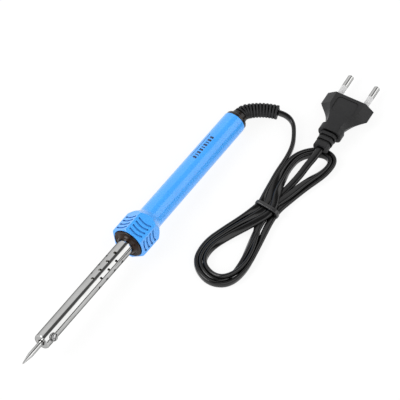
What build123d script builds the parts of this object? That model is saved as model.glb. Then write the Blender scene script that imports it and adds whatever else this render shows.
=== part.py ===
"""A 30 W class mains soldering iron with its flat twin cord tied in a figure of eight and a two-pin plug.

The tool lies along X, tip towards -X, and stands on one corner of its anti-roll guard and on the handle's rear edge.
Lengths along the tool are counted from the guard's front face, towards the cord. Millimetres, +Z up.
"""

import os
from math import atan, cos, pi, radians, sin, tan

from build123d import *

# ---- driving dimensions: the tool ------------------------------------------------------------------
guard_corner_radius = 12.9
guard_length = 17.0
guard_roll = 18.0
guard_bevel_end = 23.5
guard_groove_pitch = 3.4
guard_groove_first = 3.3
guard_groove_count = 4
guard_groove_width = 1.25
guard_groove_depth = 0.6

handle_front_radius = 8.35
handle_rear_radius = 7.95
handle_end = 121.0
handle_bore_radius = 6.0

bush_radius = 10.3
bush_proud = 0.8
bush_flange_depth = 2.2
bush_body_radius = 8.0
bush_end = 15.4

barrel_radius = 5.6
barrel_wall = 0.4
barrel_front = -97.6
barrel_end = 13.4
barrel_flange_radius = 6.7
hole_radius = 1.1
hole_pitch = 8.5
hole_first = -14.6
hole_roll = -3.0
hole_rows = 8

tip_radius = 1.75
tip_point = -118.6
tip_cone_start = -109.9
tip_shank_end = -48.0
running_gap = 0.05

core_radius = 2.35
core_end = -42.0

screw_station = -91.3
screw_roll = 60.0
screw_radius = 1.5
screw_root_radius = 1.22
screw_pitch = 0.5
screw_head_radius = 2.5
screw_head_height = 1.7
washer_radius = 3.0
washer_thickness = 0.6

cap_radius = 7.55
cap_flange = 2.6
cap_collar_radius = 5.3
cap_end = 127.0

boot_core_radius = 3.4
boot_rib_radius = 4.95
boot_rib_count = 12
boot_arcs = ((9.2, 42.0), (36.0, 31.2))
boot_spine_roll = 28.0

cord_width = 5.0
cord_thickness = 2.8

# ---- driving dimensions: the plug ------------------------------------------------------------------
plug_face_x = 173.3
plug_face_y = -52.6
plug_heading = 7.0
plug_pitch = 3.5
plug_half_width = 16.7
plug_half_height = 5.7
pin_radius = 2.0
pin_length = 19.0
pin_spacing = 19.0
pin_sleeve_length = 9.5
pin_neck_radius = 1.5
pin_root = 12.0

# ---- the tool's own directions ---------------------------------------------------------------------
guard_low = guard_corner_radius * cos(radians(30.0 - guard_roll))
tilt = atan((guard_low - handle_rear_radius) / (handle_end - 0.4 - guard_length))
axis_height = guard_low * cos(tilt) + guard_length * sin(tilt)
BACK = Vector(cos(tilt), 0, -sin(tilt))
UP = Vector(sin(tilt), 0, cos(tilt))
SIDEWAYS = Vector(0, -1, 0)
GUARD_FRONT = Vector(-(tip_point + cap_end) / 2 * cos(tilt), 0, axis_height)
TOOL_AXIS = Axis(GUARD_FRONT, BACK)
SIDE = Plane(origin=GUARD_FRONT, x_dir=BACK, z_dir=SIDEWAYS)
guard_flat_radius = guard_corner_radius * cos(pi / 6)


def on_tool(distance, sideways=0.0, upwards=0.0):
    """A point at a distance behind the guard's front face, off the tool's axis by the other two."""
    return GUARD_FRONT + BACK * distance + SIDEWAYS * sideways + UP * upwards


def across(distance):
    """The plane square to the tool, facing the tip, with x to the -Y side and y upwards."""
    return Plane(origin=on_tool(distance), x_dir=SIDEWAYS, z_dir=-BACK)


def radial(angle):
    """The direction away from the tool's axis, at an angle from upwards towards the -Y side."""
    return SIDEWAYS * sin(radians(angle)) + UP * cos(radians(angle))


# The way that the clamp screw backs out of the barrel.
SCREW_OUT = radial(screw_roll)


def turned(name, outline):
    """A piece turned about the tool's axis from its outline of (distance, radius) points."""
    with BuildPart() as piece:
        with BuildSketch(SIDE):
            with BuildLine():
                Polyline(*outline, close=True)
            make_face()
        revolve(axis=TOOL_AXIS)
    finish(piece, name)
    return piece


def tube(name, start, end, outer, inner):
    """A plain tube about the tool's axis."""
    return turned(name, [(start, inner), (start, outer), (end, outer), (end, inner)])


def finish(piece, name):
    """Labels a piece and writes it to its own file."""
    piece.part.label = name
    export_step(piece.part, f"parts/{name}.step")


os.makedirs("parts", exist_ok=True)

# ---- handle with its six-sided guard ---------------------------------------------------------------
bush_pocket = bush_radius + 0.1
pocket_mouth = bush_pocket + 0.4
with BuildPart() as handle:
    with BuildSketch(across(0)):
        RegularPolygon(guard_corner_radius, 6, rotation=-guard_roll)
    extrude(amount=-(guard_bevel_end + 1.0))
    # The guard's corners are broken at the front and bevelled down to the grip behind.
    with BuildSketch(SIDE):
        with BuildLine():
            Polyline(
                (0, 0),
                (0, guard_corner_radius - 0.5),
                (0.5, guard_corner_radius),
                (guard_length, guard_corner_radius),
                (guard_bevel_end, handle_front_radius),
                (guard_bevel_end + 1.0, handle_front_radius),
                (guard_bevel_end + 1.0, 0),
                close=True,
            )
        make_face()
    revolve(axis=TOOL_AXIS, mode=Mode.INTERSECT)
    with BuildSketch(SIDE):
        with BuildLine():
            Polyline(
                (guard_length, 0),
                (guard_length, handle_front_radius),
                (guard_bevel_end, handle_front_radius),
                (handle_end - 0.4, handle_rear_radius),
                (handle_end, handle_rear_radius - 0.4),
                (handle_end, 0),
                close=True,
            )
        make_face()
    revolve(axis=TOOL_AXIS)
    # Where the bevel meets the grip the moulding is rounded.
    with BuildSketch(SIDE):
        with BuildLine():
            root_start = (guard_bevel_end - 1.3, handle_front_radius + 0.83)
            root_end = (guard_bevel_end + 1.5, handle_front_radius - 0.02)
            Line((guard_bevel_end - 1.3, handle_front_radius - 1.0), root_start)
            Bezier(root_start, (guard_bevel_end, handle_front_radius), root_end)
            Line(root_end, (guard_bevel_end + 1.5, handle_front_radius - 1.0))
            Line(
                (guard_bevel_end + 1.5, handle_front_radius - 1.0),
                (guard_bevel_end - 1.3, handle_front_radius - 1.0),
            )
        make_face()
    revolve(axis=TOOL_AXIS)
    # The stepped bore takes the front bush, then the wiring, then the rear cap.
    with BuildSketch(SIDE):
        with BuildLine():
            Polyline(
                (-1.0, 0),
                (-1.0, pocket_mouth),
                (0, pocket_mouth),
                (0.4, bush_pocket),
                (bush_flange_depth, bush_pocket),
                (bush_flange_depth, bush_body_radius + running_gap),
                (bush_end + 0.1, bush_body_radius + running_gap),
                (bush_end + 0.1, handle_bore_radius),
                (handle_end + 1.0, handle_bore_radius),
                (handle_end + 1.0, 0),
                close=True,
            )
        make_face()
    revolve(axis=TOOL_AXIS, mode=Mode.SUBTRACT)
    # Curved grip grooves on each flat of the guard.
    for flat in range(6):
        outwards = radial(guard_roll + 60.0 * flat)
        flat_plane = Plane(
            origin=GUARD_FRONT + outwards * guard_flat_radius, x_dir=BACK, z_dir=outwards
        )
        for groove in range(guard_groove_count):
            start = guard_groove_first + groove * guard_groove_pitch
            with BuildSketch(flat_plane):
                with BuildLine():
                    Spline(
                        (start, 4.9),
                        (start - 0.6, 2.6),
                        (start - 0.95, 0.3),
                        (start - 0.6, -2.6),
                        (start + 0.45, -4.9),
                    )
                trace(line_width=guard_groove_width)
            extrude(amount=-guard_groove_depth, mode=Mode.SUBTRACT)
finish(handle, "handle")

# ---- front bush: dark heat-proof moulding that carries the barrel -----------------------------------
turned(
    "front_bush",
    [
        (-2.4, barrel_radius),
        (-2.4, 6.3),
        (-1.9, 6.9),
        (-0.9, 7.6),
        (-0.3, 8.5),
        (-0.3, 9.3),
        (-bush_proud, 9.8),
        (-bush_proud, 10.0),
        (-bush_proud + 0.3, bush_radius),
        (bush_flange_depth, bush_radius),
        (bush_flange_depth, bush_body_radius),
        (bush_end, bush_body_radius),
        (bush_end, barrel_flange_radius + 0.1),
        (barrel_end - barrel_wall, barrel_flange_radius + 0.1),
        (barrel_end - barrel_wall, barrel_radius),
    ],
)

# ---- barrel: drawn steel tube, closed in at the front, flared at the back, with rows of vent holes --
barrel_bore = barrel_radius - barrel_wall
with BuildPart() as barrel:
    with BuildSketch(SIDE):
        with BuildLine():
            Polyline(
                (barrel_front, core_radius + running_gap),
                (barrel_front, barrel_radius - 0.9),
                (barrel_front + 0.25, barrel_radius - 0.3),
                (barrel_front + 0.8, barrel_radius),
                (barrel_end - barrel_wall, barrel_radius),
                (barrel_end - barrel_wall, barrel_flange_radius),
                (barrel_end, barrel_flange_radius),
                (barrel_end, barrel_bore),
                (barrel_front + 0.5, barrel_bore),
                (barrel_front + 0.5, core_radius + running_gap),
                close=True,
            )
        make_face()
    revolve(axis=TOOL_AXIS)
    for row in range(hole_rows):
        outwards = radial(hole_roll + 45.0 * row)
        holes_in_row = 4 if row % 2 == 0 else 3
        row_start = hole_first if row % 2 == 0 else hole_first - hole_pitch / 2
        for hole in range(holes_in_row):
            centre = on_tool(row_start - hole * hole_pitch)
            with BuildSketch(Plane(origin=centre + outwards * 3.0, x_dir=BACK, z_dir=outwards)):
                Circle(hole_radius)
            extrude(amount=4.0, mode=Mode.SUBTRACT)
    with BuildSketch(Plane(origin=on_tool(screw_station), x_dir=BACK, z_dir=SCREW_OUT)):
        Circle(screw_radius + 0.25)
    extrude(amount=8.0, mode=Mode.SUBTRACT)
finish(barrel, "barrel")

tube(
    "barrel_retainer", barrel_end + running_gap, bush_end - 0.1,
    barrel_flange_radius + 0.05, barrel_bore,
)

# ---- soldering tip and the parts that hold it ------------------------------------------------------
turned(
    "soldering_tip",
    [
        (tip_point, 0),
        (tip_point, 0.22),
        (tip_point + 0.25, 0.42),
        (tip_cone_start, tip_radius),
        (tip_shank_end - 0.5, tip_radius),
        (tip_shank_end, tip_radius - 0.4),
        (tip_shank_end, 0),
    ],
)

screw_line = Axis(on_tool(screw_station), SCREW_OUT)
screw_side = Plane(origin=on_tool(screw_station), x_dir=SCREW_OUT, z_dir=radial(screw_roll + 90.0))
screw_bore = screw_radius + running_gap
with BuildPart() as core_tube:
    with BuildSketch(across(core_end)):
        Circle(core_radius)
        Circle(tip_radius + running_gap, mode=Mode.SUBTRACT)
    extrude(amount=core_end - barrel_front)
    with BuildSketch(Plane(origin=on_tool(screw_station), x_dir=BACK, z_dir=SCREW_OUT)):
        Circle(screw_bore)
    extrude(amount=4.0, mode=Mode.SUBTRACT)
finish(core_tube, "core_tube")

collar_front = barrel_front + 0.55
collar_end = -88.0
with BuildPart() as clamp_collar:
    with BuildSketch(across(collar_end)):
        Circle(barrel_bore - 0.03)
        Circle(core_radius, mode=Mode.SUBTRACT)
    extrude(amount=collar_end - collar_front)
    with BuildSketch(Plane(origin=on_tool(screw_station), x_dir=BACK, z_dir=SCREW_OUT)):
        Circle(screw_bore)
    extrude(amount=8.0, mode=Mode.SUBTRACT)
finish(clamp_collar, "clamp_collar")

washer_inside = barrel_radius + running_gap
head_inside = washer_inside + washer_thickness + running_gap
screw_end = tip_radius + 0.1
with BuildPart() as clamp_washer:
    washer_place = on_tool(screw_station) + SCREW_OUT * washer_inside
    with BuildSketch(Plane(origin=washer_place, x_dir=BACK, z_dir=SCREW_OUT)):
        Circle(washer_radius)
        Circle(screw_radius + 0.1, mode=Mode.SUBTRACT)
    extrude(amount=washer_thickness)
finish(clamp_washer, "clamp_washer")

thread_start = screw_end + 0.4
thread_turns = int((head_inside - thread_start) / screw_pitch)
with BuildPart() as tip_clamp_screw:
    with BuildSketch(screw_side):
        with BuildLine():
            thread = [(thread_start, screw_root_radius)]
            for turn in range(thread_turns):
                thread_foot = thread_start + turn * screw_pitch
                thread.append((thread_foot + screw_pitch / 2, screw_radius))
                thread.append((thread_foot + screw_pitch, screw_root_radius))
            Polyline(
                (screw_end, 0),
                (screw_end, screw_root_radius - 0.3),
                *thread,
                (head_inside, screw_root_radius),
                (head_inside, screw_head_radius - 0.15),
                (head_inside + 0.15, screw_head_radius),
                (head_inside + screw_head_height - 0.7, screw_head_radius),
                (head_inside + screw_head_height - 0.2, screw_head_radius - 0.35),
                (head_inside + screw_head_height, screw_head_radius - 1.0),
                (head_inside + screw_head_height, 0),
                close=True,
            )
        make_face()
    revolve(axis=screw_line)
    head_top = on_tool(screw_station) + SCREW_OUT * (head_inside + screw_head_height)
    with BuildSketch(Plane(origin=head_top, x_dir=BACK, z_dir=SCREW_OUT)):
        Rectangle(2 * screw_head_radius + 1.0, 0.75, rotation=35.0)
    extrude(amount=-0.9, mode=Mode.SUBTRACT)
finish(tip_clamp_screw, "tip_clamp_screw")

# ---- heating element around the core tube ----------------------------------------------------------
mica_front = -86.5
mica_end = -46.5
coil_front = -84.5
coil_end = -48.5
coil_turns = 16
coil_wire_radius = 0.2
inner_mica_radius = 2.8
coil_radius = inner_mica_radius + 0.05 + coil_wire_radius
outer_mica_bore = coil_radius + coil_wire_radius + 0.05
outer_mica_radius = outer_mica_bore + 0.4
tube("inner_mica", mica_front, mica_end, inner_mica_radius, core_radius + running_gap)
tube("outer_mica", mica_front, mica_end, outer_mica_radius, outer_mica_bore)
with BuildPart() as heating_coil:
    coil_length = coil_end - coil_front
    with BuildLine():
        winding = Helix(
            coil_length / coil_turns,
            coil_length,
            coil_radius,
            center=on_tool(coil_end),
            direction=-BACK,
        )
    with BuildSketch(Plane(origin=winding @ 0, z_dir=winding % 0)):
        Circle(coil_wire_radius)
    sweep(path=winding, is_frenet=True)
finish(heating_coil, "heating_coil")

# ---- ceramic bush behind the element, with the two leads and their sleeves -------------------------
lead_offset = 3.6
lead_radius = 0.3
sleeve_radius = 1.0
bush_front = -45.5
bush_back = -41.5
sleeve_front = bush_back + 0.2
sleeve_end = 16.0
with BuildPart() as heater_bush:
    with BuildSketch(across(bush_back)):
        Circle(barrel_bore - 0.05)
        Circle(core_radius + running_gap, mode=Mode.SUBTRACT)
        with Locations((lead_offset, 0), (-lead_offset, 0)):
            Circle(lead_radius + 0.3, mode=Mode.SUBTRACT)
    extrude(amount=bush_back - bush_front)
finish(heater_bush, "heater_bush")

crimp_front = 18.0
crimp_end = 26.0
crimp_radius = 1.2
cover_radius = 1.7
for number, side in ((1, 1), (2, -1)):
    with BuildPart() as heater_lead:
        with BuildSketch(across(crimp_front).shift_origin(on_tool(crimp_front, side * lead_offset))):
            Circle(lead_radius)
        extrude(amount=crimp_front - bush_front)
    finish(heater_lead, f"heater_lead_{number}")
    with BuildPart() as lead_sleeve:
        with BuildSketch(across(sleeve_end).shift_origin(on_tool(sleeve_end, side * lead_offset))):
            Circle(sleeve_radius)
            Circle(lead_radius + 0.1, mode=Mode.SUBTRACT)
        extrude(amount=sleeve_end - sleeve_front)
    finish(lead_sleeve, f"lead_sleeve_{number}")
    with BuildPart() as crimp:
        with BuildSketch(across(crimp_end).shift_origin(on_tool(crimp_end, side * lead_offset))):
            Circle(crimp_radius)
        extrude(amount=crimp_end - crimp_front)
    finish(crimp, f"crimp_{number}")
    with BuildPart() as crimp_cover:
        cover_end = crimp_end + 1.5
        with BuildSketch(across(cover_end).shift_origin(on_tool(cover_end, side * lead_offset))):
            Circle(cover_radius)
            Circle(crimp_radius + 0.05, mode=Mode.SUBTRACT)
        extrude(amount=cover_end - crimp_front + 1.0)
    finish(crimp_cover, f"crimp_cover_{number}")

# ---- cord inside the handle ------------------------------------------------------------------------
jacket_start = 48.0
core_radius_in_cord = 0.95
core_offset = cord_width / 4
cross_start = 31.0
cross_end = 43.0
for number, side in ((1, 1), (2, -1)):
    with BuildPart() as cord_core:
        with BuildLine():
            core_route = FilletPolyline(
                on_tool(crimp_end, side * lead_offset, 0),
                on_tool(cross_start, side * lead_offset, 0),
                on_tool(cross_end, 0, side * core_offset),
                on_tool(jacket_start, 0, side * core_offset),
                radius=8.0,
            )
        with BuildSketch(Plane(origin=core_route @ 0, z_dir=core_route % 0)):
            Circle(core_radius_in_cord)
        sweep(path=core_route)
    finish(cord_core, f"cord_core_{number}")


def plan_point(forward, left):
    """A point in the flat the bend relief curves in, counted from the rear cap's end."""
    return on_tool(cap_end + forward, -left)


with BuildLine() as boot_path:
    heading = 0.0
    forward = 0.0
    left = 0.0
    for arc_radius, arc_turn in boot_arcs:
        stops = []
        for share in (0.0, 0.5, 1.0):
            angle = radians(heading + share * arc_turn)
            stop_forward = forward + arc_radius * (sin(angle) - sin(radians(heading)))
            stop_left = left - arc_radius * (cos(radians(heading)) - cos(angle))
            stops.append((stop_forward, stop_left))
        ThreePointArc(*[plan_point(*stop) for stop in stops])
        forward, left = stops[-1]
        heading += arc_turn
boot_wire = boot_path.wires()[0]
boot_end = boot_wire @ 1
boot_heading = boot_wire % 1

with BuildPart() as cord_inner:
    with BuildSketch(across(cap_end)):
        SlotOverall(cord_width, cord_thickness, rotation=90)
    extrude(amount=cap_end - jacket_start)
    with BuildSketch(Plane(origin=boot_wire @ 0, x_dir=UP, z_dir=boot_wire % 0)):
        SlotOverall(cord_width, cord_thickness)
    sweep(path=boot_wire)
finish(cord_inner, "cord_inner")

stop_end = 108.0
stop_length = 4.0
with BuildPart() as cord_stop:
    with BuildSketch(across(stop_end)):
        SlotOverall(cord_width + 3.4, cord_thickness + 3.4, rotation=90)
        SlotOverall(cord_width, cord_thickness, rotation=90, mode=Mode.SUBTRACT)
    extrude(amount=stop_length)
finish(cord_stop, "cord_stop")

# ---- rear cap and bend relief ----------------------------------------------------------------------
cap_inside = 112.0
with BuildPart() as rear_cap:
    with BuildSketch(SIDE):
        with BuildLine():
            Polyline(
                (cap_inside, 0),
                (cap_inside, handle_bore_radius - running_gap),
                (handle_end, handle_bore_radius - running_gap),
                (handle_end, cap_radius),
                (handle_end + cap_flange - 0.9, cap_radius),
                (handle_end + cap_flange - 0.25, cap_radius - 0.35),
                (handle_end + cap_flange, cap_radius - 1.0),
                (handle_end + cap_flange, cap_collar_radius),
                (cap_end - 0.4, cap_collar_radius),
                (cap_end, cap_collar_radius - 0.4),
                (cap_end, 0),
                close=True,
            )
        make_face()
    revolve(axis=TOOL_AXIS)
    with BuildSketch(across(cap_end + 1.0)):
        SlotOverall(cord_width + 0.1, cord_thickness + 0.1, rotation=90)
    extrude(amount=cap_end + 1.0 - cap_inside + 1.0, mode=Mode.SUBTRACT)
finish(rear_cap, "rear_cap")

with BuildPart() as bend_relief:
    with BuildSketch(Plane(origin=boot_wire @ 0, x_dir=UP, z_dir=boot_wire % 0)):
        Circle(boot_core_radius)
    sweep(path=boot_wire)
    for rib in range(boot_rib_count):
        along = (rib + 0.35) / boot_rib_count
        with BuildSketch(Plane(origin=boot_wire @ along, x_dir=UP, z_dir=boot_wire % along)):
            Circle(boot_rib_radius - 0.02 * rib)
        extrude(amount=boot_wire.length / boot_rib_count * 0.55)
    # Four spines join the ribs.
    with BuildSketch(Plane(origin=boot_wire @ 0, x_dir=UP, z_dir=boot_wire % 0)):
        with PolarLocations(0, 4, start_angle=-boot_spine_roll):
            Rectangle(boot_rib_radius - 0.45, 1.5, align=(Align.MIN, Align.CENTER))
    sweep(path=boot_wire)
    with BuildSketch(Plane(origin=boot_wire @ 0, x_dir=UP, z_dir=boot_wire % 0)):
        SlotOverall(cord_width + 0.1, cord_thickness + 0.1)
    sweep(path=boot_wire, mode=Mode.SUBTRACT)
finish(bend_relief, "bend_relief")

# ---- cord: the stretch from the bend relief to the hank, standing on edge ----------------------------
# The first point is the bend relief's end and the second lies straight ahead of it.
lead_points = [
    boot_end,
    boot_end + boot_heading * 5.5,
    Vector(139.6, -30.4, 4.4),
    Vector(133.6, -35.2, 3.2),
    Vector(125.2, -39.9, 2.7),
    Vector(114.0, -42.3, 2.6),
    Vector(102.6, -43.1, 2.6),
    Vector(92.0, -45.2, 2.8),
]


def largest_radii(points):
    """The largest radius that each corner of a route has room for."""
    radii = []
    for before, corner, after in zip(points, points[1:], points[2:]):
        shorter = min((corner - before).length, (after - corner).length)
        turn = radians((corner - before).get_angle(after - corner))
        radii.append(0.45 * shorter / tan(turn / 2))
    return radii


def cord_tube(name, points, flat_dir):
    """A stretch of the flat cord along its route, with its width along flat_dir."""
    radii = largest_radii(points)
    with BuildPart() as piece:
        with BuildLine():
            route = FilletPolyline(*points, radius=radii)
        with BuildSketch(Plane(origin=route @ 0, x_dir=flat_dir, z_dir=route % 0)):
            section = SlotOverall(cord_width, cord_thickness)
        sweep(path=route)
    finish(piece, name)
    expected = section.area * route.length
    print(name, "radii", [round(radius, 1) for radius in radii])
    print(name, "length", round(route.length, 1), "volume", round(piece.part.volume), "of", round(expected))


cord_tube("cord_lead", lead_points, UP)

# ---- plug: flat two-pin plug with its pins tipped a little towards the floor -------------------------
heading_angle = radians(plug_heading)
pitch_angle = radians(plug_pitch)
PINS = Vector(
    cos(heading_angle) * cos(pitch_angle), sin(heading_angle) * cos(pitch_angle), -sin(pitch_angle)
)
PLUG_LEFT = Vector(-sin(heading_angle), cos(heading_angle), 0)
PLUG_UP = PINS.cross(PLUG_LEFT)
PLUG_FACE = Vector(plug_face_x, plug_face_y, plug_half_height * cos(pitch_angle))
neck_end = 43.0


def on_plug(behind, left=0.0, up=0.0):
    """A point behind the plug's pin face, to its left and above its middle."""
    return PLUG_FACE - PINS * behind + PLUG_LEFT * left + PLUG_UP * up


def plug_section(behind):
    """The plane square to the pins at a distance behind the pin face, with x to the left."""
    return Plane(origin=on_plug(behind), x_dir=PLUG_LEFT, z_dir=PINS)


# Distance behind the face, half width at the middle, half width of the flats, half height.
plug_profile = [
    (9.8, plug_half_width, 10.2, plug_half_height),
    (13.5, 13.3, 8.6, plug_half_height - 0.05),
    (18.0, 9.3, 6.6, plug_half_height - 0.2),
    (25.6, 7.2, 5.2, plug_half_height - 0.7),
]


def six_sided(half_width, half_flat, half_height):
    """The plug's section: widest at its middle, flat above and below."""
    Polygon(
        (half_width, 0),
        (half_flat, half_height),
        (-half_flat, half_height),
        (-half_width, 0),
        (-half_flat, -half_height),
        (half_flat, -half_height),
        align=None,
    )


def pin_plane(side):
    """The plane through a pin's axis, with x ahead of the pin face and the origin on it."""
    return Plane(origin=on_plug(0, side * pin_spacing / 2), x_dir=PINS, z_dir=PLUG_UP)


# Each sleeve's root is a cone let into the body's face.
sleeve_seat = 0.5
sleeve_root = [(-sleeve_seat, pin_neck_radius), (0, pin_radius)]

# The neck's ribs: distance behind the face, width, height, length.
neck_ribs = [
    (25.3, 16.3, 10.2, 5.0),
    (31.3, 11.6, 8.0, 2.4),
    (35.3, 11.0, 7.4, 2.4),
    (39.3, 10.6, 6.6, 3.7),
]
with BuildPart() as plug_body:
    with BuildSketch(plug_section(0)):
        six_sided(*plug_profile[0][1:])
    extrude(amount=-plug_profile[0][0])
    for behind, half_width, half_flat, half_height in plug_profile:
        with BuildSketch(plug_section(behind)):
            six_sided(half_width, half_flat, half_height)
    loft()
    fillet(plug_body.edges().filter_by(lambda edge: edge.length > 15 and edge.center().X > 172), 0.8)
    for behind, width, height in ((24.0, 10.4, 7.2), (neck_end, 8.4, 5.2)):
        with BuildSketch(plug_section(behind)):
            RectangleRounded(width, height, height / 2 - 0.2)
    loft()
    for behind, width, height, length in neck_ribs:
        with BuildSketch(plug_section(behind)):
            RectangleRounded(width, height, height / 2 - 0.6)
        extrude(amount=-length)
    # A shallow panel on top, and the seats of the pins.
    with BuildSketch(Plane(origin=on_plug(9.0, 0, plug_half_height), x_dir=PLUG_LEFT, z_dir=PLUG_UP)):
        RectangleRounded(15.0, 12.5, 2.5)
    extrude(amount=-0.35, mode=Mode.SUBTRACT)
    for side in (1, -1):
        with BuildSketch(plug_section(-1.0).shift_origin(on_plug(-1.0, side * pin_spacing / 2))):
            Circle(pin_neck_radius)
        extrude(amount=-(pin_root + 1.0), mode=Mode.SUBTRACT)
        with BuildSketch(pin_plane(side)):
            Polygon(*sleeve_root, (0, 0), (-sleeve_seat, 0), align=None)
        revolve(axis=Axis(pin_plane(side).origin, PINS), mode=Mode.SUBTRACT)
finish(plug_body, "plug_body")

for number, side in ((1, 1), (2, -1)):
    pin_side = pin_plane(side)
    pin_axis = Axis(pin_side.origin, PINS)
    with BuildPart() as plug_pin:
        with BuildSketch(pin_side):
            with BuildLine():
                Polyline(
                    (pin_length - 0.5, pin_radius),
                    (pin_sleeve_length, pin_radius),
                    (pin_sleeve_length, pin_neck_radius),
                    (-pin_root, pin_neck_radius),
                    (-pin_root, 0),
                    (pin_length, 0),
                    (pin_length, pin_radius - 0.9),
                )
                Bezier(
                    (pin_length, pin_radius - 0.9),
                    (pin_length, pin_radius - 0.2),
                    (pin_length - 0.5, pin_radius),
                )
            make_face()
        revolve(axis=pin_axis)
    finish(plug_pin, f"plug_pin_{number}")
    with BuildPart() as pin_sleeve:
        with BuildSketch(pin_side):
            Polygon(
                *sleeve_root,
                (pin_sleeve_length, pin_radius),
                (pin_sleeve_length, pin_neck_radius),
                align=None,
            )
        revolve(axis=pin_axis)
    finish(pin_sleeve, f"pin_sleeve_{number}")

# ---- cord: the strand from the plug back to the tie, lying flat --------------------------------------
# The first point is the plug's neck and the second lies straight behind it.
tail_points = [
    on_plug(neck_end),
    on_plug(neck_end + 8.0),
    Vector(112.0, -58.2, 5.4),
    Vector(102.0, -56.8, 2.4),
    Vector(93.0, -55.6, 1.6),
]
cord_tube("cord_tail", tail_points, PLUG_LEFT)

# ---- cord: the outer shape of the figure-of-eight hank, and the tie around its waist -----------------
tie_x = 73.7
tie_y = -55.1
tie_length = 3.0
tie_thickness = 0.9
strand_height = 4.9
loop_width = 8.0
lower_loop = [
    Vector(60.0, -49.2),
    Vector(46.0, -43.4),
    Vector(30.0, -38.4),
    Vector(15.0, -41.2),
    Vector(8.6, -55.0),
    Vector(13.0, -66.0),
    Vector(29.0, -68.6),
    Vector(48.0, -63.8),
    Vector(70.5, -57.4),
]
upper_loop = [
    Vector(90.0, -61.0),
    Vector(105.0, -64.2),
    Vector(120.0, -69.6),
    Vector(131.5, -68.2),
    Vector(132.6, -57.5),
    Vector(122.0, -47.2),
    Vector(109.0, -46.2),
    Vector(98.0, -48.4),
    Vector(87.0, -51.2),
    Vector(76.5, -54.5),
]
waist = (14.6, 6.0)
waist_height = 3.9
waist_length = 10.0
with BuildPart() as cord_hank:
    for mode, grown_by in ((Mode.ADD, loop_width / 2), (Mode.SUBTRACT, -loop_width / 2)):
        for loop_points in (lower_loop, upper_loop):
            loop_start = (loop_points[-1] + loop_points[0]) / 2
            loop_close = (loop_points[-1] + loop_start) / 2
            loop_route = [loop_start, *loop_points, loop_close]
            with BuildSketch():
                with BuildLine():
                    FilletPolyline(*loop_route, radius=largest_radii(loop_route))
                    Line(loop_close, loop_start)
                make_face()
                offset(amount=grown_by)
            extrude(amount=strand_height, mode=mode)
    # Under the tie only the drawn-in waist goes through.
    with BuildSketch(Plane(origin=(tie_x, tie_y, waist_height))):
        Rectangle(tie_length + 0.2, 2 * waist[0])
    extrude(amount=waist[1], both=True, mode=Mode.SUBTRACT)
    waist_start = (tie_x - waist_length / 2, tie_y, waist_height)
    with BuildSketch(Plane(origin=waist_start, x_dir=(0, 1, 0), z_dir=(1, 0, 0))):
        RectangleRounded(*waist, 2.0)
    extrude(amount=waist_length)
finish(cord_hank, "cord_hank")

with BuildPart() as hank_tie:
    tie_start = (tie_x - tie_length / 2, tie_y, waist_height)
    with BuildSketch(Plane(origin=tie_start, x_dir=(0, 1, 0), z_dir=(1, 0, 0))):
        RectangleRounded(waist[0] + 2 * tie_thickness, waist[1] + 2 * tie_thickness, 2.0 + tie_thickness)
        RectangleRounded(*waist, 2.0, mode=Mode.SUBTRACT)
    extrude(amount=tie_length)
finish(hank_tie, "hank_tie")
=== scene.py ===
"""Looks for a mains soldering iron: camera, finishes, print, free cord with its tie, floor and light."""

import math

import bmesh
import bpy
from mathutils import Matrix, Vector


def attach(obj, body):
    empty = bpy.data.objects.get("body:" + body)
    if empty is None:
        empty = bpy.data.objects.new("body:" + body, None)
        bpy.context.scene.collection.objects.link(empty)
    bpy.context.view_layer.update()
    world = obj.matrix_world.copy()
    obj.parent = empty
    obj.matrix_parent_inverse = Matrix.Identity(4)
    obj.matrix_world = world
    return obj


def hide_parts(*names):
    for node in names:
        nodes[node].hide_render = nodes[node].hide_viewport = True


MM = 0.001
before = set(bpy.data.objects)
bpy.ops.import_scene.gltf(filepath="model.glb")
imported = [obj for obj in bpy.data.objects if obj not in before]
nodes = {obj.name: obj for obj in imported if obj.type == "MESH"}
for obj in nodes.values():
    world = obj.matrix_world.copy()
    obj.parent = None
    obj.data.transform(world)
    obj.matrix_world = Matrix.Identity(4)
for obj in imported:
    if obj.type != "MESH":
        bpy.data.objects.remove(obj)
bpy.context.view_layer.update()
scene = bpy.context.scene

# ---- camera ------------------------------------------------------------------------------------------
LOOKED_AT = Vector((47.14, -20.79, 18.5)) * MM
TOWARDS_CAMERA = Vector((-0.4683, -0.3237, 0.8222)).normalized()
VIEW_WIDTH = 258.06 * MM
LENS = 1500.0
SENSOR = 36.0
FARTHEST_SEEN = 100.0
camera_data = bpy.data.cameras.new("camera")
camera_data.lens = LENS
camera_data.sensor_width = SENSOR
camera_data.clip_end = FARTHEST_SEEN
camera = bpy.data.objects.new("camera", camera_data)
camera.location = LOOKED_AT + TOWARDS_CAMERA * (VIEW_WIDTH * LENS / SENSOR)
camera.rotation_mode = "QUATERNION"
camera.rotation_quaternion = (-TOWARDS_CAMERA).to_track_quat("-Z", "Y")
scene.collection.objects.link(camera)
scene.camera = camera


# ---- finishes ----------------------------------------------------------------------------------------
# The values that a noise texture mostly keeps between.
NOISE_LOW = 0.3
NOISE_HIGH = 0.7
# How many rays the painted shade in grooves and gaps samples.
CAVITY_SHADE_SAMPLES = 8


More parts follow.
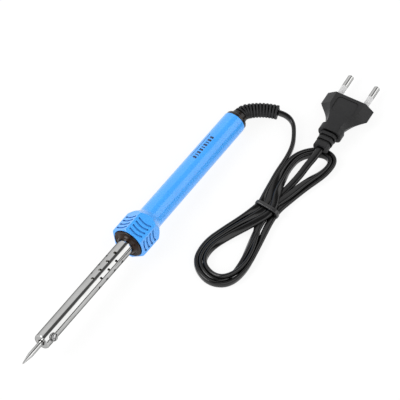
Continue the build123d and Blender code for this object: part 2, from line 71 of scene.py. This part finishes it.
class Finish:
    """A Principled material with helpers for its patterns."""

    def __init__(self, name, colour, roughness, metallic=0.0, **settings):
        self.material = bpy.data.materials.new(name)
        self.material.use_nodes = True
        self.nodes = self.material.node_tree.nodes
        self.links = self.material.node_tree.links
        self.shader = self.nodes["Principled BSDF"]
        self.shader.inputs["Base Color"].default_value = (*colour, 1.0)
        self.shader.inputs["Roughness"].default_value = roughness
        self.shader.inputs["Metallic"].default_value = metallic
        for socket, value in settings.items():
            self.shader.inputs[socket.replace("_", " ")].default_value = value
        self.place = self.nodes.new("ShaderNodeTexCoord").outputs["Object"]

    def stretched(self, scale):
        """The object's coordinates, scaled by three numbers."""
        mapping = self.nodes.new("ShaderNodeMapping")
        mapping.inputs["Scale"].default_value = scale
        self.links.new(self.place, mapping.inputs["Vector"])
        return mapping.outputs["Vector"]

    def noise(self, scale, detail, stretch=None):
        """A noise pattern; stretch scales it by three numbers before its own scale."""
        texture = self.nodes.new("ShaderNodeTexNoise")
        texture.inputs["Scale"].default_value = scale
        texture.inputs["Detail"].default_value = detail
        self.links.new(self.stretched(stretch) if stretch else self.place, texture.inputs["Vector"])
        return texture.outputs["Fac"]

    def spread(self, value, low, high, start=NOISE_LOW, end=NOISE_HIGH):
        """A pattern's values from start to end, spread out from low to high."""
        mapped = self.nodes.new("ShaderNodeMapRange")
        mapped.inputs["From Min"].default_value = start
        mapped.inputs["From Max"].default_value = end
        mapped.inputs["To Min"].default_value = low
        mapped.inputs["To Max"].default_value = high
        self.links.new(value, mapped.inputs["Value"])
        return mapped.outputs["Result"]

    def colours(self, value, first, second):
        """Colours the surface from first to second by a pattern."""
        ramp = self.nodes.new("ShaderNodeValToRGB")
        ramp.color_ramp.elements[0].position = NOISE_LOW
        ramp.color_ramp.elements[0].color = (*first, 1.0)
        ramp.color_ramp.elements[1].position = NOISE_HIGH
        ramp.color_ramp.elements[1].color = (*second, 1.0)
        self.links.new(value, ramp.inputs["Fac"])
        self.links.new(ramp.outputs["Color"], self.shader.inputs["Base Color"])

    def painted_cavity_shade(self, dark, reach, start, end):
        """Painted shade: darkens the colour of grooves and gaps by how open the surface is, all dark at
        start, untouched from end.

        reach is how far away a facing wall still counts, in metres.
        """
        occlusion = self.nodes.new("ShaderNodeAmbientOcclusion")
        occlusion.inputs["Distance"].default_value = reach
        occlusion.samples = CAVITY_SHADE_SAMPLES
        openness = self.spread(occlusion.outputs["AO"], 0.0, 1.0, start, end)
        mix = self.nodes.new("ShaderNodeMix")
        mix.data_type = "RGBA"
        mix.inputs["A"].default_value = (*dark, 1.0)
        self.links.new(openness, mix.inputs["Factor"])
        self.links.new(self.shader.inputs["Base Color"].links[0].from_socket, mix.inputs["B"])
        self.links.new(mix.outputs["Result"], self.shader.inputs["Base Color"])

    def roughness(self, value, low, high):
        """Varies the gloss from low to high by a pattern."""
        self.links.new(self.spread(value, low, high), self.shader.inputs["Roughness"])

    def bump(self, value, distance):
        """Adds relief; distance is its height in metres."""
        node = self.nodes.new("ShaderNodeBump")
        node.inputs["Distance"].default_value = distance
        node.inputs["Strength"].default_value = 1.0
        self.links.new(value, node.inputs["Height"])
        self.links.new(node.outputs["Normal"], self.shader.inputs["Normal"])


PLASTIC_DRIFT_SCALE = 60.0
PLASTIC_GLOSS_SCALE = 140.0
PLASTIC_GLOSS_RANGE = (0.85, 1.2)


def plastic(name, colour, second, roughness, grain=900.0, relief=0.00001, **settings):
    """Moulded plastic or rubber: slight colour drift, uneven gloss and a fine grain."""
    finish = Finish(name, colour, roughness, **settings)
    finish.colours(finish.noise(PLASTIC_DRIFT_SCALE, 4.0), colour, second)
    low, high = PLASTIC_GLOSS_RANGE
    finish.roughness(finish.noise(PLASTIC_GLOSS_SCALE, 5.0), roughness * low, roughness * high)
    finish.bump(finish.noise(grain, 2.0), relief)
    return finish


# How much of a metal's reflection is left close to its outline.
OUTLINE_TINT = (0.08, 0.08, 0.08)
METAL_DRIFT_SCALE = 90.0
METAL_GLOSS_RANGE = (0.7, 1.4)
METAL_RELIEF = 0.000003


def metal(name, colour, second, roughness, stretch=(40.0, 1400.0, 1400.0)):
    """Plated or drawn metal: uneven polish and fine lines, along X unless stretch says otherwise."""
    finish = Finish(name, colour, roughness, metallic=1.0)
    finish.shader.inputs["Specular Tint"].default_value = (*OUTLINE_TINT, 1.0)
    finish.colours(finish.noise(METAL_DRIFT_SCALE, 4.0), colour, second)
    low, high = METAL_GLOSS_RANGE
    finish.roughness(finish.noise(1.0, 3.0, stretch), roughness * low, roughness * high)
    finish.bump(finish.noise(1.0, 2.0, stretch), METAL_RELIEF)
    return finish


blue = plastic(
    "handle blue",
    (0.052, 0.350, 0.90),
    (0.060, 0.370, 0.95),
    0.26,
    grain=500.0,
    relief=0.000004,
    Coat_Weight=0.35,
    Coat_Roughness=0.08,
)
# Painted shade: the blue turns deep blue in narrow gaps and recesses, such as the ring around the bush.
blue.painted_cavity_shade((0.007, 0.06, 0.27), reach=1.6 * MM, start=0.35, end=0.85)
ink = plastic("handle ink", (0.004, 0.022, 0.075), (0.008, 0.034, 0.110), 0.4, grain=800.0, relief=0.000004)
bakelite = plastic(
    "bush brown",
    (0.008, 0.004, 0.003),
    (0.034, 0.014, 0.007),
    0.2,
    grain=700.0,
    relief=0.000006,
    Specular_IOR_Level=0.22,
)
nickel = metal("barrel nickel", (0.48, 0.48, 0.475), (0.54, 0.54, 0.535), 0.09)
plating = metal("tip plating", (0.46, 0.46, 0.455), (0.58, 0.58, 0.575), 0.10, stretch=(60.0, 900.0, 900.0))
zinc = metal("screw steel", (0.34, 0.34, 0.34), (0.48, 0.48, 0.48), 0.14, stretch=(300.0, 300.0, 300.0))
# Painted shade: the barrel's nickel and the screw's steel turn near black in their gaps, slots and
# recesses.
nickel.painted_cavity_shade((0.02, 0.02, 0.02), reach=1.4 * MM, start=0.35, end=0.75)
zinc.painted_cavity_shade((0.04, 0.04, 0.04), reach=0.8 * MM, start=0.3, end=0.8)
dark_steel = metal("oxidised steel", (0.05, 0.045, 0.04), (0.10, 0.09, 0.08), 0.4)
plain_steel = metal("inner steel", (0.50, 0.48, 0.45), (0.60, 0.58, 0.56), 0.4)
wire = metal("heater wire", (0.30, 0.26, 0.23), (0.42, 0.36, 0.30), 0.5)
mica = plastic(
    "mica",
    (0.035, 0.028, 0.018),
    (0.07, 0.055, 0.035),
    0.4,
    grain=300.0,
    relief=0.00003,
    Specular_IOR_Level=0.2,
)
ceramic = plastic("ceramic", (0.78, 0.74, 0.66), (0.86, 0.83, 0.77), 0.6, grain=600.0, relief=0.00002)
braid = plastic("glass braid", (0.74, 0.72, 0.60), (0.84, 0.82, 0.74), 0.8, grain=1500.0, relief=0.00006)
brass = metal("crimp brass", (0.70, 0.52, 0.24), (0.80, 0.66, 0.36), 0.3)
shrink = plastic("cover shrink", (0.30, 0.02, 0.015), (0.36, 0.03, 0.02), 0.4)
cores = plastic("core insulation", (0.05, 0.02, 0.01), (0.07, 0.03, 0.015), 0.4)
cap_black = plastic(
    "cap black",
    (0.010, 0.008, 0.007),
    (0.024, 0.016, 0.012),
    0.24,
    grain=700.0,
    relief=0.000008,
    Specular_IOR_Level=0.35,
)
nylon = plastic("stop nylon", (0.72, 0.72, 0.69), (0.80, 0.80, 0.78), 0.5)
relief_rubber = plastic(
    "relief rubber",
    (0.022, 0.022, 0.023),
    (0.032, 0.032, 0.033),
    0.42,
    grain=900.0,
    relief=0.00002,
    Specular_IOR_Level=0.12,
)
# Painted shade: the rubber turns near black between the bend relief's ribs.
relief_rubber.painted_cavity_shade((0.0005, 0.0005, 0.0005), reach=1.8 * MM, start=0.55, end=0.92)
cord_rubber = plastic(
    "cord rubber",
    (0.003, 0.003, 0.0031),
    (0.006, 0.006, 0.0062),
    0.2,
    grain=1100.0,
    relief=0.000012,
    Specular_IOR_Level=0.4,
)
# Painted shade: the cord turns near black in the gaps between its strands.
cord_rubber.painted_cavity_shade((0.0006, 0.0006, 0.0006), reach=3.0 * MM, start=0.4, end=0.9)
tie_black = plastic(
    "tie black",
    (0.016, 0.016, 0.0165),
    (0.026, 0.026, 0.027),
    0.28,
    grain=900.0,
    relief=0.00002,
    Specular_IOR_Level=0.5,
)
plug_black = plastic(
    "plug black",
    (0.020, 0.020, 0.0205),
    (0.028, 0.028, 0.029),
    0.42,
    grain=1400.0,
    relief=0.00003,
    Specular_IOR_Level=0.16,
)
# Painted shade: the plug turns near black between its ribs and in its recesses.
plug_black.painted_cavity_shade((0.0005, 0.0005, 0.0005), reach=3.0 * MM, start=0.5, end=0.85)
pin_nickel = metal("pin nickel", (0.48, 0.48, 0.475), (0.56, 0.56, 0.55), 0.12)
pin_grey = plastic("pin insulation", (0.56, 0.56, 0.56), (0.62, 0.62, 0.62), 0.35)

DRESSED = [
    (blue, ["handle"]),
    (bakelite, ["front_bush"]),
    (nickel, ["barrel"]),
    (plating, ["soldering_tip"]),
    (zinc, ["tip_clamp_screw", "clamp_washer"]),
    (plain_steel, ["clamp_collar", "barrel_retainer", "heater_lead_1", "heater_lead_2"]),
    (dark_steel, ["core_tube"]),
    (wire, ["heating_coil"]),
    (mica, ["inner_mica", "outer_mica"]),
    (ceramic, ["heater_bush"]),
    (braid, ["lead_sleeve_1", "lead_sleeve_2"]),
    (brass, ["crimp_1", "crimp_2"]),
    (shrink, ["crimp_cover_1", "crimp_cover_2"]),
    (cores, ["cord_core_1", "cord_core_2"]),
    (cap_black, ["rear_cap"]),
    (nylon, ["cord_stop"]),
    (relief_rubber, ["bend_relief"]),
    (cord_rubber, ["cord_inner"]),
    (plug_black, ["plug_body"]),
    (pin_nickel, ["plug_pin_1", "plug_pin_2"]),
    (pin_grey, ["pin_sleeve_1", "pin_sleeve_2"]),
]
for finish, dressed in DRESSED:
    for name in dressed:
        for slot in nodes[name].material_slots:
            slot.material = finish.material


# ---- shapes --------------------------------------------------------------------------------------------
def piece_from(name, bm, finish):
    """A new object from a bmesh, shaded smooth."""
    mesh = bpy.data.meshes.new(name)
    bm.normal_update()
    bm.to_mesh(mesh)
    bm.free()
    for polygon in mesh.polygons:
        polygon.use_smooth = True
    mesh.materials.append(finish.material)
    piece = bpy.data.objects.new(name, mesh)
    scene.collection.objects.link(piece)
    return piece


def joined(bm, ring, following):
    """Faces between two rings of vertices."""
    for index in range(len(ring)):
        after = (index + 1) % len(ring)
        bm.faces.new((ring[index], ring[after], following[after], following[index]))


def closed_tube(bm, rings):
    """Faces along rings of vertices, with both ends closed."""
    for ring, following in zip(rings, rings[1:]):
        joined(bm, ring, following)
    bm.faces.new(list(reversed(rings[0])))
    bm.faces.new(rings[-1])


LINE_RESOLUTION = 14


def smooth_line(controls):
    """Points along the smooth line that has these control points."""
    curve = bpy.data.curves.new("route", "CURVE")
    curve.dimensions = "3D"
    curve.resolution_u = LINE_RESOLUTION
    spline = curve.splines.new("NURBS")
    spline.points.add(len(controls) - 1)
    for control, place in zip(spline.points, controls):
        control.co = (*place, 1.0)
    spline.order_u = 3
    spline.use_endpoint_u = True
    carrier = bpy.data.objects.new("route", curve)
    scene.collection.objects.link(carrier)
    evaluated = carrier.evaluated_get(bpy.context.evaluated_depsgraph_get())
    mesh = bpy.data.meshes.new_from_object(evaluated)
    line = [vertex.co.copy() for vertex in mesh.vertices]
    bpy.data.objects.remove(carrier)
    bpy.data.curves.remove(curve)
    bpy.data.meshes.remove(mesh)
    return line


END_STEPS = 7


def flat_section(width, thickness):
    """The outline of a flat cord: (across the width, across the thickness) points."""
    round_radius = thickness / 2
    straight = width / 2 - round_radius
    outline = []
    for end in (1, -1):
        for step in range(END_STEPS):
            angle = math.pi * (step / (END_STEPS - 1) - 0.5)
            wide = straight + round_radius * math.cos(angle)
            outline.append((end * wide, end * round_radius * math.sin(angle)))
    return outline


def swept(bm, line, rolls, section):
    """Sweeps a section along a line, turned from upright by the rolls, and closes its ends."""
    rings = []
    for index, place in enumerate(line):
        ahead = line[min(index + 1, len(line) - 1)] - line[max(index - 1, 0)]
        ahead.normalize()
        side = ahead.cross(Vector((0, 0, 1))).normalized()
        upright = side.cross(ahead)
        roll = rolls[index]
        wide = upright * math.cos(roll) + side * math.sin(roll)
        thin = ahead.cross(wide)
        rings.append([bm.verts.new(place + wide * w + thin * t) for w, t in section])
    closed_tube(bm, rings)


# ---- the print on the handle: two rows of plain bars ---------------------------------------------------
# The grip as part.py builds it: the middle of the guard's front, the ways back and up along the handle,
# which is tipped by 2.58 degrees, and the radii between which it tapers.
GUARD_FRONT = Vector((-4.196, 0.0, 13.370)) * MM
BACK = Vector((0.99899, 0.0, -0.04501))
UP = Vector((0.04501, 0.0, 0.99899))
GRIP_START = 23.5 * MM
GRIP_END = 120.6 * MM
GRIP_FRONT_RADIUS = 8.35 * MM
GRIP_REAR_RADIUS = 7.95 * MM


def on_grip(station, angle, proud):
    """A point over the grip: its distance behind the guard's front, and its angle from up towards +Y."""
    share = (station - GRIP_START) / (GRIP_END - GRIP_START)
    radius = GRIP_FRONT_RADIUS + (GRIP_REAR_RADIUS - GRIP_FRONT_RADIUS) * share + proud
    outwards = UP * math.cos(angle) + Vector((0, 1, 0)) * math.sin(angle)
    return GUARD_FRONT + BACK * station + outwards * radius


BAR_STEPS = 4
BAR_SUNK = -0.02
BAR_PROUD = 0.04
# A bar's four edges: the share of its length where each is, and its height over the grip in mm.
BAR_CORNERS = ((0.0, BAR_SUNK), (0.0, BAR_PROUD), (1.0, BAR_PROUD), (1.0, BAR_SUNK))


def printed_bar(bm, station, length, angle, spread):
    """A thin raised bar that follows the grip's curve."""
    rings = []
    for step in range(BAR_STEPS + 1):
        turn = angle + spread * (step / BAR_STEPS - 0.5)
        corners = []
        for ahead, proud in BAR_CORNERS:
            corners.append(bm.verts.new(on_grip(station + ahead * length, turn, proud * MM)))
        rings.append(corners)
    closed_tube(bm, rings)


# The upper row has tall bars of two lengths, and the lower one short dashes at an even pitch, all in mm.
BAR_LENGTHS = (1.5, 0.8, 1.5, 1.5, 0.8, 1.5, 0.8, 1.5, 1.5)
BARS_START = 76.6
BAR_GAP = 1.2
BAR_ANGLE = math.radians(11.0)
BAR_SPREAD = math.radians(19.0)
DASH_COUNT = 16
DASHES_START = 77.5
DASH_PITCH = 1.4
DASH_LENGTH = 0.8
DASH_ANGLE = math.radians(36.0)
DASH_SPREAD = math.radians(4.5)
print_mesh = bmesh.new()
station = BARS_START
for length in BAR_LENGTHS:
    printed_bar(print_mesh, station * MM, length * MM, BAR_ANGLE, BAR_SPREAD)
    station += length + BAR_GAP
for dash in range(DASH_COUNT):
    station = DASHES_START + DASH_PITCH * dash
    printed_bar(print_mesh, station * MM, DASH_LENGTH * MM, DASH_ANGLE, DASH_SPREAD)
bmesh.ops.recalc_face_normals(print_mesh, faces=print_mesh.faces)
handle_print = piece_from("handle_print", print_mesh, ink)
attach(handle_print, "iron")


# ---- the cord's route: control points in mm, each with its roll from standing on edge, in degrees ------
BOOT_END = (139.19, -18.71, 6.91)
LEAD = [
    (*BOOT_END, 0.0),
    (140.78, -23.98, 6.84, 0.0),
    (139.6, -30.4, 4.4, 0.0),
    (133.6, -35.2, 3.2, 0.0),
    (125.2, -39.9, 2.7, 0.0),
    (114.0, -42.3, 2.6, 0.0),
    (102.6, -43.1, 2.6, 0.0),
    (92.0, -45.2, 2.8, 10.0),
    (83.0, -47.6, 4.0, 45.0),
]
LOWER_LOOP = [
    (60.0, -49.2),
    (46.0, -43.4),
    (30.0, -38.4),
    (15.0, -41.2),
    (8.6, -55.0),
    (13.0, -66.0),
    (29.0, -68.6),
    (48.0, -63.8),
]
UPPER_LOOP = [
    (90.0, -61.0),
    (105.0, -64.2),
    (120.0, -69.6),
    (131.5, -68.2),
    (132.6, -57.5),
    (122.0, -47.2),
    (109.0, -46.2),
    (98.0, -48.4),
    (87.0, -51.2),
]
TAIL = [
    (84.7, -54.4, 1.9, 90.0),
    (91.3, -55.2, 1.6, 90.0),
    (98.6, -56.0, 1.9, 90.0),
    (108.1, -57.2, 3.9, 90.0),
    (116.8, -57.9, 7.3, 90.0),
    (122.76, -58.8, 8.8, 90.0),
    (130.7, -57.83, 8.31, 90.0),
]
# Each turn of a loop: for each of its points, how far outward it lies, its height, and its roll.
LOWER_TURNS = [
    [(3.4, 3.4, 30), (3.0, 2.6, 5), (2.6, 2.5, 0), (3.0, 2.5, 0),
     (3.4, 2.5, 0), (2.4, 2.5, 0), (2.0, 2.5, 0), (2.0, 2.3, 50)],
    [(-0.4, 4.0, 40), (0.0, 2.8, 10), (0.0, 2.5, 0), (0.0, 2.5, 0),
     (0.2, 2.5, 0), (-0.6, 2.5, 0), (-3.6, 2.5, 0), (-3.4, 2.4, 40)],
    [(-4.6, 4.4, 70), (-3.4, 3.0, 60), (-3.0, 2.6, 25), (-3.2, 2.6, 0),
     (-2.8, 3.6, 0), (-1.6, 6.0, 0), (-0.4, 3.6, 0), (-0.6, 2.6, 55)],
]
UPPER_TURNS = [
    [(1.0, 1.6, 85), (1.2, 1.8, 70), (1.2, 2.4, 25), (1.8, 2.5, 10),
     (1.6, 2.3, 30), (1.4, 2.4, 20), (1.2, 2.5, 40), (1.8, 2.9, 75), (2.0, 4.0, 85)],
    [(-0.6, 4.3, 85), (-1.0, 4.2, 75), (-1.4, 3.4, 30), (-1.6, 2.6, 10),
     (-1.6, 2.4, 20), (-1.4, 2.5, 5), (-1.8, 2.5, 0), (-2.2, 3.4, 20), (-2.0, 4.9, 70)],
]
# Where the strands lie flat in the tie, in two layers: the top one on the way into the lower loop, the
# bottom one on the way back.
TIE_X = 73.7
STRANDS = (-50.2, -55.1, -60.0)
TOP_HEIGHT = 6.0
BOTTOM_HEIGHT = 3.1
FLAT = 90.0
TOP_LAYER = [(TIE_X, y, TOP_HEIGHT, FLAT) for y in STRANDS]
BOTTOM_LAYER = [(TIE_X, y, BOTTOM_HEIGHT, FLAT) for y in reversed(STRANDS)]


def turn_points(loop, turn, before, after):
    """One turn: the loop's points moved outward, with heights and rolls."""
    middle_x = sum(point[0] for point in loop) / len(loop)
    middle_y = sum(point[1] for point in loop) / len(loop)
    around = [before[:2], *loop, after[:2]]
    points = []
    for index, (out, height, roll) in enumerate(turn):
        here = loop[index]
        along = Vector(around[index + 2]) - Vector(around[index])
        normal = Vector((along.y, -along.x)).normalized()
        if normal.dot(Vector(here) - Vector((middle_x, middle_y))) < 0:
            normal.negate()
        points.append((here[0] + normal.x * out, here[1] + normal.y * out, height, float(roll)))
    return points


route = list(LEAD)
for index, (top, bottom) in enumerate(zip(TOP_LAYER, BOTTOM_LAYER)):
    route.append(top)
    route += turn_points(LOWER_LOOP, LOWER_TURNS[index], top, bottom)
    route.append(bottom)
    if index < len(UPPER_TURNS):
        route += turn_points(UPPER_LOOP, UPPER_TURNS[index], bottom, TOP_LAYER[index + 1])
route += TAIL


CORD_WIDTH = 5.0 * MM
CORD_THICKNESS = 2.8 * MM
cord_line = smooth_line([Vector(point[:3]) * MM for point in route])
smooth_rolls = smooth_line([(point[3], 0.0, 0.0) for point in route])
cord_rolls = [math.radians(place.x) for place in smooth_rolls]
cord_mesh = bmesh.new()
swept(cord_mesh, cord_line, cord_rolls, flat_section(CORD_WIDTH, CORD_THICKNESS))
cord = piece_from("cord", cord_mesh, cord_rubber)
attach(cord, "iron")
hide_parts("cord_lead", "cord_hank", "cord_tail")

# ---- the tie -----------------------------------------------------------------------------------------
# Its middle line is a rounded box about the strands, in mm. TIE_POWER is how square: 1 would be an ellipse.
TIE_MIDDLE = Vector((TIE_X, STRANDS[1], 4.55))
TIE_HALF_ACROSS = 8.1
TIE_HALF_UP = 3.7
TIE_POWER = 0.5
TIE_WIDTH = 2.9 * MM
TIE_THICKNESS = 1.6 * MM
TIE_STEPS = 64
ALONG_HANK = Vector((1, 0, 0))


def boxed(value):
    """A sine or cosine pushed outwards, which turns a circle into a rounded box."""
    return math.copysign(abs(value) ** TIE_POWER, value)


# The last point is the first again.
tie_line = []
for step in range(TIE_STEPS + 1):
    angle = 2 * math.pi * step / TIE_STEPS
    across = boxed(math.cos(angle)) * TIE_HALF_ACROSS
    upwards = boxed(math.sin(angle)) * TIE_HALF_UP
    tie_line.append((TIE_MIDDLE + Vector((0, across, upwards))) * MM)
tie_mesh = bmesh.new()
rings = []
for step in range(TIE_STEPS):
    ahead = (tie_line[step + 1] - tie_line[step - 1]).normalized()
    outwards = ahead.cross(ALONG_HANK)
    ring = []
    for w, t in flat_section(TIE_WIDTH, TIE_THICKNESS):
        ring.append(tie_mesh.verts.new(tie_line[step] + ALONG_HANK * w + outwards * t))
    rings.append(ring)
for ring, following in zip(rings, rings[1:] + rings[:1]):
    joined(tie_mesh, ring, following)
bmesh.ops.recalc_face_normals(tie_mesh, faces=tie_mesh.faces)
tie = piece_from("cord_tie", tie_mesh, tie_black)
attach(tie, "iron")
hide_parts("hank_tie")

# ---- floor and light ---------------------------------------------------------------------------------
# The floor reflects little and glows, so that it stays white and the piece's shadows stay pale on it.
FLOOR_HALF = 4.0
FLOOR_DROP = 0.0003
floor_finish = plastic(
    "floor",
    (0.12, 0.12, 0.12),
    (0.13, 0.13, 0.13),
    0.9,
    grain=40.0,
    relief=0.00001,
    Emission_Color=(1.0, 1.0, 1.0, 1.0),
    Emission_Strength=0.88,
    Specular_IOR_Level=0.0,
)
floor_mesh = bmesh.new()
bmesh.ops.create_grid(floor_mesh, x_segments=2, y_segments=2, size=FLOOR_HALF)
floor = piece_from("floor", floor_mesh, floor_finish)
floor.location.z = -FLOOR_DROP

# The studio: a bright panel on the -Y side and a dimmer one on the whole +Y side, with a dark strip
# overhead between them and another just above the floor on the -Y side. Light also comes from below there.
# Each stop is an angle from upwards towards +Y, in degrees, and the light from there.
STUDIO = [
    (-89.6, 0.75),
    (-89.3, 0.03),
    (-76.5, 0.03),
    (-74.5, 1.8),
    (-25.0, 1.8),
    (-20.5, 0.12),
    (12.0, 0.12),
    (18.0, 1.0),
]
STUDIO_STRENGTH = 1.8
# The light from both ends, along X, and how far along X a direction points as it fades over to it.
STUDIO_ENDS = 0.7
ENDS_FADE_START = 0.85
ENDS_FADE_END = 0.98
LAMP_SIZE = 0.8
LAMP_POWER = 12.0
LAMP_PLACE = (-0.9, 0.75, 0.95)
lamp_data = bpy.data.lights.new("lamp", "AREA")
lamp_data.shape = "SQUARE"
lamp_data.size = LAMP_SIZE
lamp_data.energy = LAMP_POWER
lamp = bpy.data.objects.new("lamp", lamp_data)
lamp.location = LAMP_PLACE
lamp.rotation_mode = "QUATERNION"
lamp.rotation_quaternion = Vector(lamp.location).to_track_quat("Z", "Y")
lamp.visible_camera = False
scene.collection.objects.link(lamp)
world = bpy.data.worlds.new("studio")
world.use_nodes = True
studio_nodes = world.node_tree.nodes
studio_links = world.node_tree.links
background = studio_nodes["Background"]
background.inputs["Strength"].default_value = STUDIO_STRENGTH
direction = studio_nodes.new("ShaderNodeSeparateXYZ")
studio_links.new(studio_nodes.new("ShaderNodeTexCoord").outputs["Generated"], direction.inputs[0])
side_angle = studio_nodes.new("ShaderNodeMath")
side_angle.operation = "ARCTAN2"
studio_links.new(direction.outputs["Y"], side_angle.inputs[0])
studio_links.new(direction.outputs["Z"], side_angle.inputs[1])
share_of_turn = studio_nodes.new("ShaderNodeMapRange")
share_of_turn.inputs["From Min"].default_value = -math.pi
share_of_turn.inputs["From Max"].default_value = math.pi
studio_links.new(side_angle.outputs[0], share_of_turn.inputs["Value"])
panels = studio_nodes.new("ShaderNodeValToRGB")
studio_links.new(share_of_turn.outputs["Result"], panels.inputs["Fac"])
stops = panels.color_ramp.elements
while len(stops) < len(STUDIO):
    stops.new(1.0)
for stop, (angle, light) in zip(list(stops), STUDIO):
    level = light / STUDIO_STRENGTH
    stop.position = (angle + 180.0) / 360.0
    stop.color = (level, level, level, 1.0)
endwise = studio_nodes.new("ShaderNodeMath")
endwise.operation = "ABSOLUTE"
studio_links.new(direction.outputs["X"], endwise.inputs[0])
fade = studio_nodes.new("ShaderNodeMapRange")
fade.inputs["From Min"].default_value = ENDS_FADE_START
fade.inputs["From Max"].default_value = ENDS_FADE_END
studio_links.new(endwise.outputs[0], fade.inputs["Value"])
blend = studio_nodes.new("ShaderNodeMix")
blend.data_type = "RGBA"
studio_links.new(fade.outputs["Result"], blend.inputs["Factor"])
studio_links.new(panels.outputs["Color"], blend.inputs["A"])
end_level = STUDIO_ENDS / STUDIO_STRENGTH
blend.inputs["B"].default_value = (end_level, end_level, end_level, 1.0)
studio_links.new(blend.outputs["Result"], background.inputs["Color"])
scene.world = world
scene.view_settings.view_transform = "Standard"
